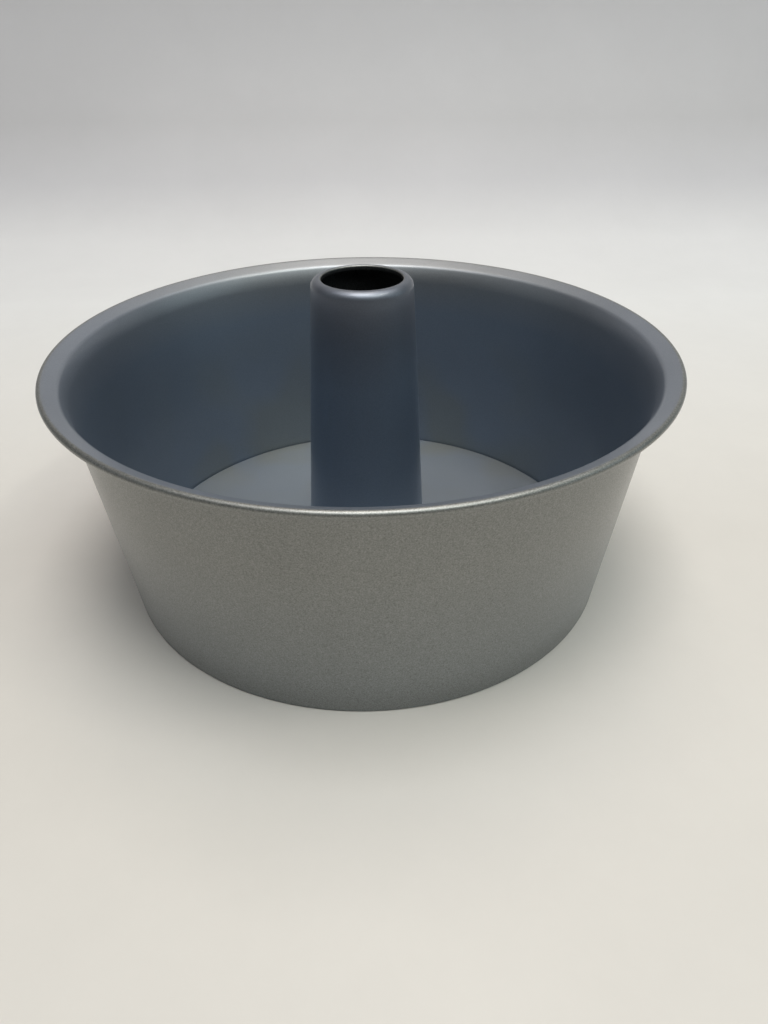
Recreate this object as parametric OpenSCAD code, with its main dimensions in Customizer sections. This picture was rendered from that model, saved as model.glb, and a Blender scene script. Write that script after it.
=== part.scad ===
// Two-piece angel food cake pan.
// A tapered outer ring with a flared, curled rim holds a loose core on its inward ledge.
// The core is a flat base plate with a tapered centre tube fixed to it.
// Millimetres, +Z up. The origin is on the table, on the pan's axis.

/* [Outer ring] */
// Outside diameter over the curled rim
rim_d = 254; // [240:1:290]
// Height of the rim's top above the table
rim_h = 101.8; // [80:0.2:120]
// Outside diameter at the foot of the wall
base_d = 214; // [190:1:222]
// Thickness of the ring's steel sheet
ring_t = 0.8; // [0.7:0.1:1.2]
// Width of the inward ledge, from the foot of the wall to its free edge
ledge_w = 8.5; // [6:0.5:14]
// Inside radius of the bend between wall and ledge
corner_r = 0.3; // [0.3:0.1:1.5]

/* [Rim] */
// Radius of the gentle bend above the wall, on the face that looks into the pan
throat_r = 22; // [14:1:28]
// Slope where the gentle bend gives way to the tighter flare, in degrees
throat_angle = 63; // [55:1:70]
// Radius of the flare, on the face that looks into the pan
flare_r = 3; // [2.5:0.5:8]
// Length of the straight lip between the flare and the curl
lip_w = 4.8; // [3:0.2:7]
// Slope of the lip, in degrees
lip_angle = 25; // [15:1:35]
// Outside radius of the curled edge
curl_r = 1.45; // [1.3:0.05:2.5]
// How far round the curl goes, in degrees
curl_turn = 265; // [180:5:275]

/* [Base plate] */
// Thickness of the base plate
plate_t = 0.8; // [0.6:0.1:1.5]
// Radial clearance between the plate's edge and the bend at the wall's foot
plate_gap = 0.6; // [0.5:0.1:3]
// Radius that rounds the plate's upper edge
plate_edge_r = 0.2; // [0.1:0.05:0.5]

/* [Centre tube] */
// Outside diameter at the foot of the tube
tube_foot_d = 54.6; // [46:0.2:64]
// Outside diameter under the tube's rounded shoulder
tube_top_d = 41; // [39:0.2:45]
// Height of the tube's crown above the table
tube_h = 128.6; // [108:0.2:150]
// Thickness of the tube's steel sheet
tube_t = 0.6; // [0.4:0.1:0.7]
// Outside radius of the tube's shoulder
shoulder_r = 3.4; // [2:0.1:4]
// Diameter of the open mouth in the crown
mouth_d = 32.6; // [28:0.2:33]
// Outside radius where the crown turns down into the mouth
mouth_edge_r = 0.7; // [0.7:0.1:0.9]
// Depth of the mouth's turned-down lip below the crown
mouth_lip = 2; // [1.2:0.1:4]
// Width of the flange that holds the tube under the plate
flange_w = 5; // [3:0.5:10]
// Radial clearance of the tube in the plate's hole
tube_gap = 0.1; // [0.05:0.05:0.3]

/* [Hidden] */

// Facets round the axis, and the largest angle between two points of an outline's arc
$fn = 180;
arc_step = 7.5;

// Angles of the points of a circle, counted from straight outward
UP = 90;
DOWN = -90;
INWARD = 180;

// Outer ring: the radii that its bends share, and the centres that they turn about
corner_out_r = corner_r + ring_t;
corner_c = [base_d / 2 - corner_out_r, corner_out_r];
throat_end = UP + throat_angle;
curl_c = [rim_d / 2 - curl_r, rim_h - curl_r];
curl_start = UP + lip_angle;
curl_end = curl_start - curl_turn;
flare_c = curl_c - polar(flare_r - curl_r, curl_start) - polar(lip_w, lip_angle);
throat_c = flare_c - polar(throat_r - flare_r, throat_end);
ledge_inner_r = base_d / 2 - ledge_w;

// The wall is straight and tangent to the bends below it and above it
wall_run = throat_c - corner_c;
wall_normal = heading(wall_run) - acos((throat_r - ring_t + corner_out_r) / norm(wall_run));

// Base plate: it lies on the ledge and stops short of the bend
plate_z = ring_t;
plate_r = corner_c[0] - plate_gap;
hole_r = tube_foot_d / 2 + tube_gap;

// Centre tube: its flange lies under the plate, and its wall is tangent to the shoulder
tube_foot = [tube_foot_d / 2, plate_z];
shoulder_c = [tube_top_d / 2 - shoulder_r, tube_h - shoulder_r];
mouth_c = [mouth_d / 2 + mouth_edge_r, tube_h - mouth_edge_r];
tube_run = shoulder_c - tube_foot;
tube_normal = heading(tube_run) - asin(shoulder_r / norm(tube_run)) - UP;
tube_inner_foot = tube_foot - polar(tube_t / cos(tube_normal), 0);
flange_r = tube_foot_d / 2 + flange_w;

function polar(r, a) = [r * cos(a), r * sin(a)];
function heading(v) = atan2(v[1], v[0]);

// Points along an arc about a centre, from one angle to another
function arc(centre, r, from, to) =
    let (steps = max(1, ceil(abs(to - from) / arc_step)))
    [for (i = [0 : steps]) centre + polar(r, from + (to - from) * i / steps)];

function reversed(points) = [for (i = [len(points) - 1 : -1 : 0]) points[i]];

// One face of the ring's sheet, from the ledge's edge to the end of the curl.
// The depth is how far the face lies into the sheet, from the outer face.
function ring_face(depth) = concat(
    [[ledge_inner_r, depth]],
    arc(corner_c, corner_out_r - depth, DOWN, wall_normal),
    arc(throat_c, throat_r - ring_t + depth, wall_normal + INWARD, throat_end),
    arc(flare_c, flare_r - ring_t + depth, throat_end, curl_start),
    arc(curl_c, curl_r - ring_t + depth, curl_start, curl_end)
);

// One face of the tube's wall, from the shoulder to the end of the mouth's lip
function crown_face(depth) = concat(
    arc(shoulder_c, shoulder_r - depth, tube_normal, UP),
    arc(mouth_c, mouth_edge_r - depth, UP, INWARD),
    [[mouth_d / 2 + depth, tube_h - mouth_lip]]
);

module outer_ring() {
    color("#75756f")
    rotate_extrude()
    polygon(concat(ring_face(0), reversed(ring_face(ring_t))));
}

module base_plate() {
    top = plate_z + plate_t;
    edge_c = [plate_r - plate_edge_r, top - plate_edge_r];
    color("#7d8083")
    rotate_extrude()
    polygon(concat(
        [[hole_r, plate_z], [plate_r, plate_z]],
        arc(edge_c, plate_edge_r, 0, UP),
        [[hole_r, top]]
    ));
}

module centre_tube() {
    // The bend from wall to flange, rounded on the side that faces the table
    bend_c = tube_inner_foot + [tube_t, 0];
    color("#4d545c")
    rotate_extrude()
    polygon(concat(
        [[flange_r, plate_z - tube_t], [flange_r, plate_z], tube_foot],
        crown_face(0),
        reversed(crown_face(tube_t)),
        arc(bend_c, tube_t, INWARD, INWARD + UP)
    ));
}

outer_ring();
base_plate();
centre_tube();
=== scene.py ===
"""Looks of a two-piece angel food cake pan: turned sheet-steel shells in a satin metallic grey coating."""

import math

import bpy
from mathutils import Matrix, Vector


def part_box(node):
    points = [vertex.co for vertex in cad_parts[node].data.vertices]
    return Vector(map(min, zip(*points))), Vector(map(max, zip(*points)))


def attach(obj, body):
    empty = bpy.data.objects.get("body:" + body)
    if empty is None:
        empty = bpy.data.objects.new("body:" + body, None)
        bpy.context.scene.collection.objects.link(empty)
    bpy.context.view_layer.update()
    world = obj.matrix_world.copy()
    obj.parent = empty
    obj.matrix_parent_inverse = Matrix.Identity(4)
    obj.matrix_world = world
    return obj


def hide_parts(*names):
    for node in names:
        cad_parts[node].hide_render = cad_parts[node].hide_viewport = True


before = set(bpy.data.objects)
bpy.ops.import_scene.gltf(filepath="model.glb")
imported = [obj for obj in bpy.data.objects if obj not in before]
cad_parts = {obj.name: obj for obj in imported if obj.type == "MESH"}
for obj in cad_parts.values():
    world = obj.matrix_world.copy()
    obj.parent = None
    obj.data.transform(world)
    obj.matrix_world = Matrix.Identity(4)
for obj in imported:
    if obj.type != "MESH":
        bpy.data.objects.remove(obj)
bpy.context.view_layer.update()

MM = 0.001

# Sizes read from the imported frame
ring_low, ring_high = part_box("outer_ring")
plate_low, plate_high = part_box("base_plate")
tube_low, tube_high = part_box("centre_tube")
RIM_R = ring_high.x
RIM_Z = ring_high.z
RING_T = plate_low.z - ring_low.z
PLATE_R = plate_high.x
PLATE_TOP = plate_high.z
TUBE_T = plate_low.z - tube_low.z
FLANGE_R = tube_high.x
CROWN_Z = tube_high.z

# Sizes that the frame's boxes don't give, the same as in the part's source
BASE_R = 107 * MM
LEDGE_W = 8.5 * MM
CORNER_R = 0.3 * MM
THROAT_R = 22 * MM
THROAT_ANGLE = 63
FLARE_R = 3 * MM
LIP_W = 4.8 * MM
LIP_ANGLE = 25
CURL_R = 1.45 * MM
CURL_TURN = 265
PLATE_EDGE_R = 0.2 * MM
TUBE_FOOT_R = 27.3 * MM
TUBE_TOP_R = 20.5 * MM
TUBE_GAP = 0.1 * MM
SHOULDER_R = 3.4 * MM
MOUTH_R = 16.3 * MM
MOUTH_EDGE_R = 0.7 * MM
MOUTH_LIP = 2 * MM

# Radii that round the cut edges of the sheet, which the part's source leaves square
CUT_R = 0.18 * MM
PLATE_FOOT_R = 0.12 * MM

# Angles of the points of a circle, counted from straight outward
UP = 90
DOWN = -90
INWARD = 180

# Fineness of the turned meshes: segments round the axis, largest angles between the points of an
# outline's arcs in degrees, steps along its straight stretches, and the angle that makes an edge sharp
SEGMENTS = 360
ARC_STEP = 6
CUT_STEP = 30
THROAT_STEP = 1.5
PLATE_EDGE_STEP = 18
MOUTH_STEP = 10
FLANGE_BEND_STEP = 12
WALL_STEPS = 24
LIP_STEPS = 4
PLATE_STEPS = 16
SHARP_ANGLE = 40

# The coats, in the order in which one runs into the next: the one that faces the food, painted light and
# shade at the top of the walls (paler on the ring's lip, darker on the tube's crown), the outer one, and
# painted shade in the tube's bore
FOOD, PAINTED_TOP_LIGHT_AND_SHADE, OUTER, PAINTED_BORE_SHADE = range(4)

# Heights between which the coat that faces the food grows paler towards the ring's lip, which is painted
# light, and darker and greyer towards the tube's crown, which is painted shade; and the angles on the
# curled edge between which it gives way to the outer coat
LIP_PAINTED_LIGHT_FROM = 76 * MM
LIP_PAINTED_LIGHT_TO = 94 * MM
CROWN_PAINTED_SHADE_FROM = 88 * MM
CROWN_PAINTED_SHADE_TO = 118 * MM
BEAD_COAT_FROM = 120
BEAD_COAT_TO = 84

# Colours of the coat where it faces the food; of the painted light on the lip and at the lip's back, and
# the painted shade on the crown; of the outer coat; and of the painted shade in the tube's bore
RING_FOOD = (0.224, 0.270, 0.336)
RING_LIP_PAINTED_LIGHT = (0.290, 0.320, 0.370)
RING_LIP_BACK_PAINTED_LIGHT = (0.276, 0.292, 0.308)
PLATE_FOOD = (0.236, 0.262, 0.292)
TUBE_FOOD = (0.231, 0.286, 0.362)
TUBE_CROWN_PAINTED_SHADE = (0.182, 0.200, 0.236)
OUTER_COAT = (0.246, 0.251, 0.240)
PAINTED_BORE_COLOUR = (0.090, 0.092, 0.096)

# How metallic and how rough the coat is on the formed pieces and on the flat plate
FORMED_FINISH = (0.97, 0.52)
PLATE_FINISH = (0.86, 0.58)
ROUGHNESS_SPREAD = 0.04

# The outer coat has painted shade at the foot, where it mirrors the table's shadow, and low down a cooler
# painted reflection of the shadowed table. These are the heights where that ends.
FOOT_PAINTED_SHADE = (0.85, 0.85, 0.85)
PAINTED_SHADE_TOP = 16 * MM
COOL_PAINTED_REFLECTION = (0.97, 1.01, 1.07)
PAINTED_REFLECTION_TOP = 70 * MM

# The coat that faces the food has warmer patches: they fade out upwards and towards the front, and
# show where their noise is above the middle of its band
WARM_SHADE = (1.04, 0.98, 0.86)
PATCH_BAND = (0.42, 0.58)
PATCH_HEIGHTS = (75 * MM, 25 * MM)
PATCH_DEPTHS = (30 * MM, 80 * MM)

# Depths, from front to back, between which the lip's painted light turns to its colour at the back, a
# warmer painted reflection of warm lamplight
LIP_PAINTED_REFLECTION_DEPTHS = (20 * MM, 110 * MM)

# Noises: scale, detail and roughness. The band is the one in which most of their values lie.
NOISE_BAND = (0.3, 0.7)
GRAIN = (1900, 3, 0.7)
MOTTLE = (28, 3, 0.5)
PEEL = (420, 2, 0.5)
PATCHES = (24, 1, 0.5)
CLOUD = (9, 9, 0.75)

# How much the fleck shades the coat that faces the food and the outer one, how much the mottling
# shades both, and how much the clouds shade the table
FLECK_FOOD = 0.10
FLECK_OUTER = 0.38
MOTTLE_DEPTH = 0.03
CLOUD_DEPTH = 0.025

# The clear layer over the metal, and how uneven both are
CLEAR_WEIGHT = 0.5
CLEAR_ROUGHNESS = 0.13
METAL_BUMP = 0.25
CLEAR_BUMP = 0.5
BUMP_HEIGHT = 0.04 * MM

# The table in metres: half its width, its front edge, where its sweep begins, and the sweep's radius
# and top
TABLE_HALF = 1.9
TABLE_FRONT = -1.9
SWEEP_FROM = 0.40
SWEEP_R = 0.27
SWEEP_TOP = 0.6
SWEEP_STEP = 5
TABLE_ROUGHNESS = 0.55

# Painted light and shade on the table and its sweep, darker in front of the pan and up the sweep: distance
# along it in metres, and colour
TABLE_PAINTED_LIGHT = (
    (0.00, (0.600, 0.576, 0.542)),
    (0.09, (0.640, 0.622, 0.592)),
    (0.36, (0.690, 0.692, 0.690)),
    (0.51, (0.628, 0.628, 0.635)),
    (0.63, (0.484, 0.482, 0.500)),
    (0.73, (0.433, 0.429, 0.441)),
    (0.87, (0.487, 0.483, 0.498)),
)

# The room's colour, and its strength: as light, as the camera sees it beyond the table, and as the
# coating mirrors it
ROOM_COLOUR = (0.98, 0.99, 1.0, 1)
ROOM_LIGHT = 0.02
ROOM_SEEN = 0.57
ROOM_MIRRORED = 0.05

# Widths and depths of the lamps in metres, and the point that they face
CEILING = (0.85, 0.75)
SIDE = (1.2, 1.0)
STRIP = (0.34, 0.08)
WIDE_STRIP = (0.34, 0.10)
LAMP_TARGET = (0, 0, 50 * MM)

# The lamps: name, size, place in metres, power in watts and colour
LAMPS = (
    ("ceiling", CEILING, (0, -0.2, 1.9), 16.3, (1, 0.98, 0.96)),
    ("ceiling_back", CEILING, (0, 0.6, 1.9), 6.0, (1, 0.88, 0.77)),
    ("ceiling_front", CEILING, (0, -1.0, 1.9), 6.7, (0.88, 0.97, 1)),
    ("ceiling_left", CEILING, (-0.9, -0.2, 1.9), 2.0, (0.95, 0.94, 1)),
    ("ceiling_right", CEILING, (0.9, -1.0, 1.9), 9.8, (0.92, 1, 0.96)),
    ("ceiling_right_middle", CEILING, (0.9, -0.2, 1.9), 2.0, (1, 1, 0.80)),
    ("ceiling_right_back", CEILING, (0.9, 0.6, 1.9), 2.4, (0.85, 0.9, 1)),
    ("side_left", SIDE, (-1.55, -0.3, 0.7), 0.8, (0.80, 0.94, 1)),
    ("side_right", SIDE, (1.55, -0.3, 0.7), 2.3, (0.72, 0.93, 1)),
    ("strip_left", STRIP, (-0.36, -0.52, 1.8), 2.4, (1, 0.95, 0.87)),
    ("strip", STRIP, (0, -0.52, 1.8), 1.8, (1, 0.95, 0.87)),
    ("strip_right", STRIP, (0.36, -0.52, 1.8), 1.2, (1, 0.95, 0.87)),
    ("strip_far_right", WIDE_STRIP, (1.0, -0.4, 1.8), 3.4, (1, 0.95, 0.87)),
)

# The photograph's camera: where it stands from the pan's axis, where it points in degrees, and its lens
CAMERA_BACK = 303.2 * MM
CAMERA_HEIGHT = 219.5 * MM
CAMERA_YAW = 1.537
CAMERA_PITCH = 33.663
CAMERA_ROLL = 0.321
CAMERA_CLIP = 10 * MM
LENS_MM = 27.08
SENSOR_MM = 36


def polar(r, degrees):
    return Vector((r * math.cos(math.radians(degrees)), r * math.sin(math.radians(degrees))))


def heading(v):
    return math.degrees(math.atan2(v.y, v.x))


def arc(centre, r, start, end, step=ARC_STEP):
    """Points along an arc about a centre, from one angle to another."""
    steps = max(1, math.ceil(abs(end - start) / step))
    return [centre + polar(r, start + (end - start) * i / steps) for i in range(steps + 1)]


def quarter(x, z, r, start, step=CUT_STEP):
    """Points of a quarter turn about a centre, from the angle that is given."""
    return arc(Vector((x, z)), r, start, start + UP, step)


def line(a, b, steps):
    """Points inside a straight stretch, without its ends."""
    return [a.lerp(b, i / steps) for i in range(1, steps)]


def coated(points, coat):
    """Points of an outline, marked with the coat that they have."""
    return [(p.x, p.y, coat) for p in points]


def blended(points, places, low, high, first, last):
    """Points of an outline whose coat runs from first to last as their places go from low to high."""
    shares = [min(1, max(0, (place - low) / (high - low))) for place in places]
    return [(p.x, p.y, first + (last - first) * share) for p, share in zip(points, shares)]


def upward(points, low, high):
    """Points of an outline whose coat changes with height, from FOOD into the painted light and shade on
    top.
    """
    return blended(points, [p.y for p in points], low, high, FOOD, PAINTED_TOP_LIGHT_AND_SHADE)


def turned(name, outline):
    """A solid of revolution about the pan's axis, from a closed outline of (radius, height, coat).

    The coat is FOOD, the painted light and shade at the top of the walls, OUTER, or the painted shade in
    the bore, or lies between two of them.
    """
    count = len(outline)
    points = []
    for s in range(SEGMENTS):
        a = 2 * math.pi * s / SEGMENTS
        points += [(r * math.cos(a), r * math.sin(a), z) for r, z, coat in outline]
    faces = []
    for s in range(SEGMENTS):
        here = s * count
        there = (s + 1) % SEGMENTS * count
        for i in range(count):
            j = (i + 1) % count
            faces.append((here + i, there + i, there + j, here + j))
    mesh = bpy.data.meshes.new(name)
    mesh.from_pydata(points, [], faces)
    coats = mesh.attributes.new("coat", "FLOAT", "POINT")
    coats.data.foreach_set("value", [coat for r, z, coat in outline] * SEGMENTS)
    mesh.shade_smooth()
    mesh.set_sharp_from_angle(angle=math.radians(SHARP_ANGLE))
    piece = bpy.data.objects.new(name, mesh)
    bpy.context.collection.objects.link(piece)
    return piece


def ring_outline():
    """The ring's sheet in section: ledge, bend, wall, flare and curled edge."""
    corner_out = CORNER_R + RING_T
    corner = Vector((BASE_R - corner_out, corner_out))
    curl = Vector((RIM_R - CURL_R, RIM_Z - CURL_R))
    throat_end = UP + THROAT_ANGLE
    curl_start = UP + LIP_ANGLE
    curl_end = curl_start - CURL_TURN
    flare = curl - polar(FLARE_R - CURL_R, curl_start) - polar(LIP_W, LIP_ANGLE)
    throat = flare - polar(THROAT_R - FLARE_R, throat_end)
    run = throat - corner
    normal = heading(run) - math.degrees(math.acos((THROAT_R - RING_T + corner_out) / run.length))

    def face(depth):
        """One face of the sheet, up to the curled edge and along it, at a depth from its outer face."""
        bend = arc(corner, corner_out - depth, DOWN, normal)
        lip = arc(throat, THROAT_R - RING_T + depth, normal + INWARD, throat_end, THROAT_STEP)
        lip += arc(flare, FLARE_R - RING_T + depth, throat_end, curl_start)[1:]
        bead = arc(curl, CURL_R - RING_T + depth, curl_start, curl_end)
        wall = line(bend[-1], lip[0], WALL_STEPS)
        return bend + wall + lip + line(lip[-1], bead[0], LIP_STEPS), bead

    # Towards the rim the coat that faces the food grows paler, which is painted light, and over the bead
    # it meets the outer one
    inside, bead = face(RING_T)
    angles = [curl_start + (curl_end - curl_start) * i / (len(bead) - 1) for i in range(len(bead))]
    inner = upward(inside, LIP_PAINTED_LIGHT_FROM, LIP_PAINTED_LIGHT_TO)
    inner += blended(bead, angles, BEAD_COAT_FROM, BEAD_COAT_TO, PAINTED_TOP_LIGHT_AND_SHADE, OUTER)
    outer = coated(sum(face(0), []), OUTER)

    cut = BASE_R - LEDGE_W + CUT_R
    edge_low = coated(quarter(cut, CUT_R, CUT_R, INWARD), OUTER)
    edge_high = coated(quarter(cut, RING_T - CUT_R, CUT_R, UP), FOOD)
    return edge_low + outer + inner[::-1] + edge_high


def plate_outline():
    """The plate's sheet in section: underside, edge and top, from its hole outward and back."""
    hole_low = Vector((TUBE_FOOT_R + TUBE_GAP, RING_T))
    hole_high = Vector((TUBE_FOOT_R + TUBE_GAP, PLATE_TOP))
    low = [hole_low] + line(hole_low, Vector((PLATE_R, RING_T)), PLATE_STEPS)
    low += quarter(PLATE_R - PLATE_FOOT_R, RING_T + PLATE_FOOT_R, PLATE_FOOT_R, DOWN)
    edge_x = PLATE_R - PLATE_EDGE_R
    high = quarter(edge_x, PLATE_TOP - PLATE_EDGE_R, PLATE_EDGE_R, 0, PLATE_EDGE_STEP)
    high += line(high[-1], hole_high, PLATE_STEPS)
    return coated(low, OUTER) + coated(high + [hole_high], FOOD)


def tube_outline():
    """The tube's sheet in section: flange, outer face, crown, mouth, bore and the bend at its foot."""
    foot = Vector((TUBE_FOOT_R, RING_T))
    shoulder = Vector((TUBE_TOP_R - SHOULDER_R, CROWN_Z - SHOULDER_R))
    mouth = Vector((MOUTH_R + MOUTH_EDGE_R, CROWN_Z - MOUTH_EDGE_R))
    run = shoulder - foot
    normal = heading(run) - math.degrees(math.asin(SHOULDER_R / run.length)) - UP

    def shoulder_face(depth):
        return arc(shoulder, SHOULDER_R - depth, normal, UP)

    def mouth_face(depth):
        return arc(mouth, MOUTH_EDGE_R - depth, UP, INWARD, MOUTH_STEP)

    flange_x = FLANGE_R - CUT_R
    flange = quarter(flange_x, RING_T - TUBE_T + CUT_R, CUT_R, DOWN)
    flange += quarter(flange_x, RING_T - CUT_R, CUT_R, 0)

    # Towards the crown the coat that faces the food turns darker and greyer, which is painted shade, and
    # round the mouth's edge it darkens into the painted shade of the bore
    outside = shoulder_face(0)
    edge = mouth_face(0)
    food_side = [foot] + line(foot, outside[0], WALL_STEPS) + outside
    food_side = upward(food_side, CROWN_PAINTED_SHADE_FROM, CROWN_PAINTED_SHADE_TO)
    food_side += blended(edge, range(len(edge)), 0, len(edge) - 1, PAINTED_TOP_LIGHT_AND_SHADE, PAINTED_BORE_SHADE)

    lip_z = CROWN_Z - MOUTH_LIP + CUT_R
    lip = quarter(MOUTH_R + CUT_R, lip_z, CUT_R, INWARD)
    lip += quarter(MOUTH_R + TUBE_T - CUT_R, lip_z, CUT_R, INWARD + UP)
    inside = shoulder_face(TUBE_T) + mouth_face(TUBE_T)
    inner_foot = foot - Vector((TUBE_T / math.cos(math.radians(normal)), 0))
    wall = line(inside[0], inner_foot, WALL_STEPS)
    bend = quarter(inner_foot.x + TUBE_T, inner_foot.y, TUBE_T, INWARD, FLANGE_BEND_STEP)
    return coated(flange, OUTER) + food_side + coated(lip + inside[::-1] + wall + bend, PAINTED_BORE_SHADE)


class Graph:
    """Adds nodes to a tree. A value is a number, a colour or another node's output, which is linked."""

    def __init__(self, tree):
        self.nodes = tree.nodes
        self.links = tree.links

    def feed(self, socket, value):
        if isinstance(value, bpy.types.NodeSocket):
            self.links.new(value, socket)
        else:
            socket.default_value = value

    def add(self, kind, output, inputs, **settings):
        """The output of a new node that has these settings and inputs."""
        node = self.nodes.new(kind)
        for name, setting in settings.items():
            setattr(node, name, setting)
        for socket, value in inputs.items():
            self.feed(node.inputs[socket], value)
        return node.outputs[output]

    def noise(self, place, scale, detail, roughness):
        inputs = {"Vector": place, "Scale": scale, "Detail": detail, "Roughness": roughness}
        return self.add("ShaderNodeTexNoise", "Fac", inputs)

    def remap(self, value, band, to_low=0, to_high=1):
        """A value that goes from one number to another as the given one crosses the band."""
        inputs = {"Value": value, "From Min": band[0], "From Max": band[1]}
        inputs.update({"To Min": to_low, "To Max": to_high})
        return self.add("ShaderNodeMapRange", "Result", inputs)

    def combine(self, operation, *values):
        return self.add("ShaderNodeMath", "Value", dict(enumerate(values)), operation=operation)

    def mix(self, factor, a, b):
        """A colour between a and b. A mix node's sockets for vectors go by number."""
        return self.add("ShaderNodeMix", 1, {0: factor, 4: a, 5: b}, data_type="VECTOR")

    def tint(self, colour, factor):
        inputs = {0: colour, "Scale": factor}
        return self.add("ShaderNodeVectorMath", "Vector", inputs, operation="SCALE")


def new_material(name):
    """A new material, its graph and shader's inputs, and the object's coordinates, whole and apart."""
    material = bpy.data.materials.new(name)
    material.use_nodes = True
    graph = Graph(material.node_tree)
    shader = graph.nodes["Principled BSDF"].inputs
    place = graph.add("ShaderNodeTexCoord", "Object", {})
    apart = graph.nodes.new("ShaderNodeSeparateXYZ")
    graph.feed(apart.inputs[0], place)
    return material, graph, shader, place, apart.outputs


def scaled(colour, factors):
    return tuple(c * f for c, f in zip(colour, factors))


def coating(name, food, lip, lip_back_painted_light, metallic, roughness):
    """Satin metallic non-stick coating, bluish where it faces the food and warmer and grainier outside.

    It is darkest inside the tube, which is painted shade. Painted light makes the ring's lip paler and, as
    a painted reflection, warmer at its back; painted shade darkens the tube's crown and the outer foot,
    and the outer coat is painted cooler low down, a reflection of the shadowed table. It has a fine fleck,
    faint mottling and a slight orange-peel surface.
    """
    material, graph, shader, place, apart = new_material(name)
    coat = graph.add("ShaderNodeAttribute", "Fac", {}, attribute_name="coat")
    grain = graph.noise(place, *GRAIN)
    mottle = graph.noise(place, *MOTTLE)
    peel = graph.noise(place, *PEEL)

    # The fleck is strong outside and faint inside
    depth = graph.remap(coat, (PAINTED_TOP_LIGHT_AND_SHADE, OUTER), FLECK_FOOD, FLECK_OUTER)
    speck = graph.combine("MULTIPLY_ADD", graph.remap(grain, NOISE_BAND, -1, 1), depth, 1)
    cloudy = graph.remap(mottle, NOISE_BAND, 1 - MOTTLE_DEPTH, 1 + MOTTLE_DEPTH)
    shade = graph.combine("MULTIPLY", speck, cloudy)

    # Painted shade at the outer foot, and low down a cooler painted reflection of the shadowed table
    painted_cool_reflection = scaled(OUTER_COAT, COOL_PAINTED_REFLECTION)
    foot = graph.mix(graph.remap(apart["Z"], (0, PAINTED_SHADE_TOP)), scaled(painted_cool_reflection, FOOT_PAINTED_SHADE), painted_cool_reflection)
    outer = graph.mix(graph.remap(apart["Z"], (PAINTED_SHADE_TOP, PAINTED_REFLECTION_TOP)), foot, OUTER_COAT)

    patches = graph.remap(graph.noise(place, *PATCHES), PATCH_BAND)
    for axis, band in (("Z", PATCH_HEIGHTS), ("Y", PATCH_DEPTHS)):
        patches = graph.combine("MULTIPLY", patches, graph.remap(apart[axis], band))
    inner = graph.mix(patches, food, scaled(food, WARM_SHADE))
    # Painted light on the lip, turning warmer towards the back as a painted reflection of warm lamplight
    painted_lip_light = graph.mix(graph.remap(apart["Y"], LIP_PAINTED_REFLECTION_DEPTHS), lip, lip_back_painted_light)

    # From coat to coat, in their order, with the painted light and shade at the top of the walls and the
    # painted shade in the bore among them
    colour = inner
    for before, after, next_colour in ((FOOD, PAINTED_TOP_LIGHT_AND_SHADE, painted_lip_light), (PAINTED_TOP_LIGHT_AND_SHADE, OUTER, outer), (OUTER, PAINTED_BORE_SHADE, PAINTED_BORE_COLOUR)):
        colour = graph.mix(graph.remap(coat, (before, after)), colour, next_colour)
    graph.feed(shader["Base Color"], graph.tint(colour, shade))

    shader["Metallic"].default_value = metallic
    rough = graph.remap(grain, NOISE_BAND, roughness - ROUGHNESS_SPREAD, roughness + ROUGHNESS_SPREAD)
    graph.feed(shader["Roughness"], rough)
    shader["Coat Weight"].default_value = CLEAR_WEIGHT
    shader["Coat Roughness"].default_value = CLEAR_ROUGHNESS

    # The metal layer is slightly uneven, and the clear one over it more so, which breaks up highlights
    height = graph.combine("ADD", peel, grain)
    for normal, strength in (("Normal", METAL_BUMP), ("Coat Normal", CLEAR_BUMP)):
        inputs = {"Height": height, "Strength": strength, "Distance": BUMP_HEIGHT}
        graph.feed(shader[normal], graph.add("ShaderNodeBump", "Normal", inputs))
    return material


def dress(piece, node, body, material):
    """A piece in place of its node, on its body, in its coating."""
    piece.data.materials.append(material)
    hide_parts(node)
    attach(piece, body)


def pale_table():
    """The table's material: painted light and shade along the sweep, and faint clouds."""
    material, graph, shader, place, apart = new_material("pale_table")

    # How far along the sweep a point lies: its depth and its height together
    along = graph.combine("ADD", apart["Y"], apart["Z"])
    # Painted light and shade: the table's tones along the sweep
    painted_shading = graph.nodes.new("ShaderNodeValToRGB")
    graph.feed(painted_shading.inputs["Fac"], along)
    stops = painted_shading.color_ramp.elements
    for i, (position, colour) in enumerate(TABLE_PAINTED_LIGHT):
        stop = stops[i] if i < len(stops) else stops.new(position)
        stop.position = position
        stop.color = (*colour, 1)

    clouds = graph.remap(graph.noise(place, *CLOUD), NOISE_BAND, 1 - CLOUD_DEPTH, 1 + CLOUD_DEPTH)
    graph.feed(shader["Base Color"], graph.tint(painted_shading.outputs["Color"], clouds))
    shader["Roughness"].default_value = TABLE_ROUGHNESS
    return material


def stage():
    """A pale table that sweeps up into a backdrop behind the pan."""
    curve = [Vector((TABLE_FRONT, 0)), Vector((SWEEP_FROM, 0))]
    curve += arc(Vector((SWEEP_FROM, SWEEP_R)), SWEEP_R, DOWN, 0, SWEEP_STEP)[1:]
    curve += [Vector((SWEEP_FROM + SWEEP_R, SWEEP_TOP))]
    points = [(x, p.x, p.y) for p in curve for x in (-TABLE_HALF, TABLE_HALF)]
    faces = [(2 * i, 2 * i + 1, 2 * i + 3, 2 * i + 2) for i in range(len(curve) - 1)]
    mesh = bpy.data.meshes.new("table")
    mesh.from_pydata(points, [], faces)
    mesh.shade_smooth()
    mesh.materials.append(pale_table())
    table = bpy.data.objects.new("table", mesh)
    bpy.context.collection.objects.link(table)


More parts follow.
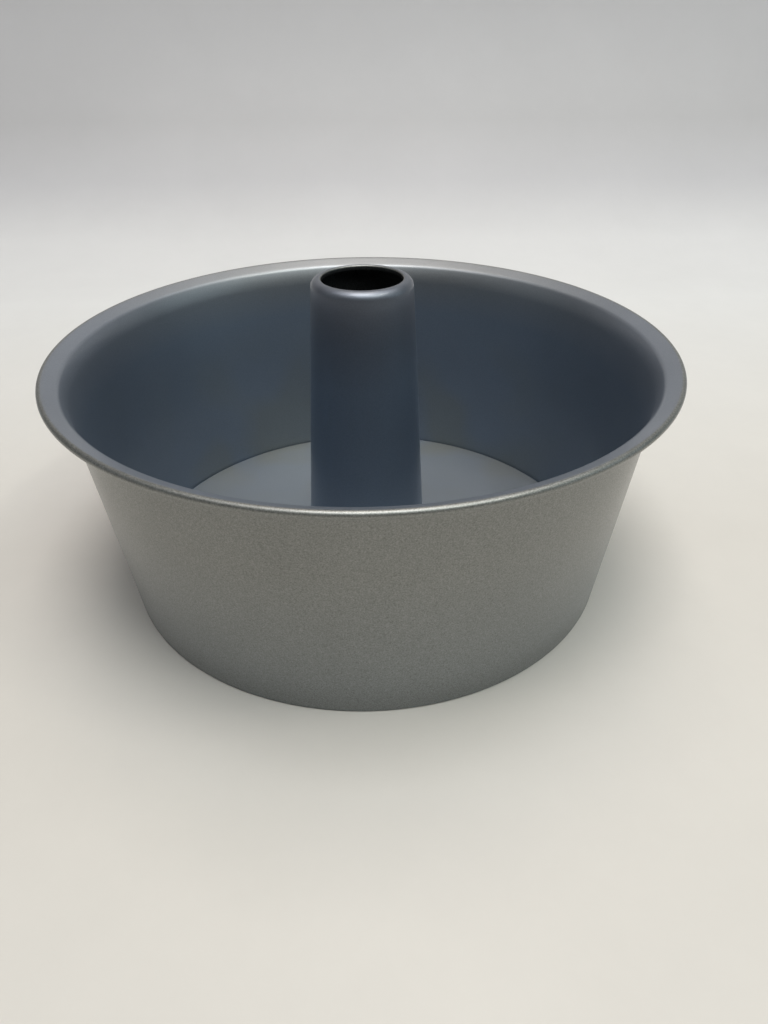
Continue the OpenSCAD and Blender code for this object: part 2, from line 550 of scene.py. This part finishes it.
def room():
    """The world: dim as light, pale to the camera beyond the table, and fainter in the coating."""
    world = bpy.data.worlds.new("room")
    world.use_nodes = True
    graph = Graph(world.node_tree)
    sky = graph.nodes["Background"].inputs
    sky["Color"].default_value = ROOM_COLOUR
    path = graph.nodes.new("ShaderNodeLightPath").outputs
    strength = ROOM_LIGHT
    for ray, seen in (("Is Camera Ray", ROOM_SEEN), ("Is Glossy Ray", ROOM_MIRRORED)):
        strength = graph.combine("MULTIPLY_ADD", path[ray], seen - ROOM_LIGHT, strength)
    graph.feed(sky["Strength"], strength)
    bpy.context.scene.world = world


def lamps():
    """Area lamps that face the pan."""
    for name, size, place, power, colour in LAMPS:
        data = bpy.data.lights.new(name, "AREA")
        data.shape = "RECTANGLE"
        data.size, data.size_y = size
        data.energy = power
        data.color = colour
        lamp = bpy.data.objects.new(name, data)
        lamp.location = place
        lamp.rotation_mode = "QUATERNION"
        lamp.rotation_quaternion = (Vector(place) - Vector(LAMP_TARGET)).to_track_quat("Z", "Y")
        bpy.context.collection.objects.link(lamp)


def camera():
    """The photograph's camera, whose roll turns its right and down directions about its line of sight."""
    yaw, pitch, roll = (math.radians(a) for a in (CAMERA_YAW, CAMERA_PITCH, CAMERA_ROLL))
    right = Vector((math.cos(yaw), -math.sin(yaw), 0))
    ahead = Vector((math.sin(yaw) * math.cos(pitch), math.cos(yaw) * math.cos(pitch), -math.sin(pitch)))
    down = ahead.cross(right)
    across = math.cos(roll) * right + math.sin(roll) * down
    below = -math.sin(roll) * right + math.cos(roll) * down
    data = bpy.data.cameras.new("camera")
    data.lens = LENS_MM
    data.sensor_width = SENSOR_MM
    data.clip_start = CAMERA_CLIP
    cam = bpy.data.objects.new("camera", data)
    turn = Matrix((across, -below, -ahead)).transposed()
    cam.matrix_world = Matrix.Translation((0, -CAMERA_BACK, CAMERA_HEIGHT)) @ turn.to_4x4()
    bpy.context.collection.objects.link(cam)
    bpy.context.scene.camera = cam


camera()
room()
lamps()
stage()

ring_grey = coating("ring_coating", RING_FOOD, RING_LIP_PAINTED_LIGHT, RING_LIP_BACK_PAINTED_LIGHT, *FORMED_FINISH)
plate_grey = coating("plate_coating", PLATE_FOOD, PLATE_FOOD, PLATE_FOOD, *PLATE_FINISH)
tube_grey = coating("tube_coating", TUBE_FOOD, TUBE_CROWN_PAINTED_SHADE, TUBE_CROWN_PAINTED_SHADE, *FORMED_FINISH)
dress(turned("ring_shell", ring_outline()), "outer_ring", "ring", ring_grey)
dress(turned("plate_disc", plate_outline()), "base_plate", "core", plate_grey)
dress(turned("tube_shell", tube_outline()), "centre_tube", "core", tube_grey)

bpy.context.scene.view_settings.view_transform = "Standard"
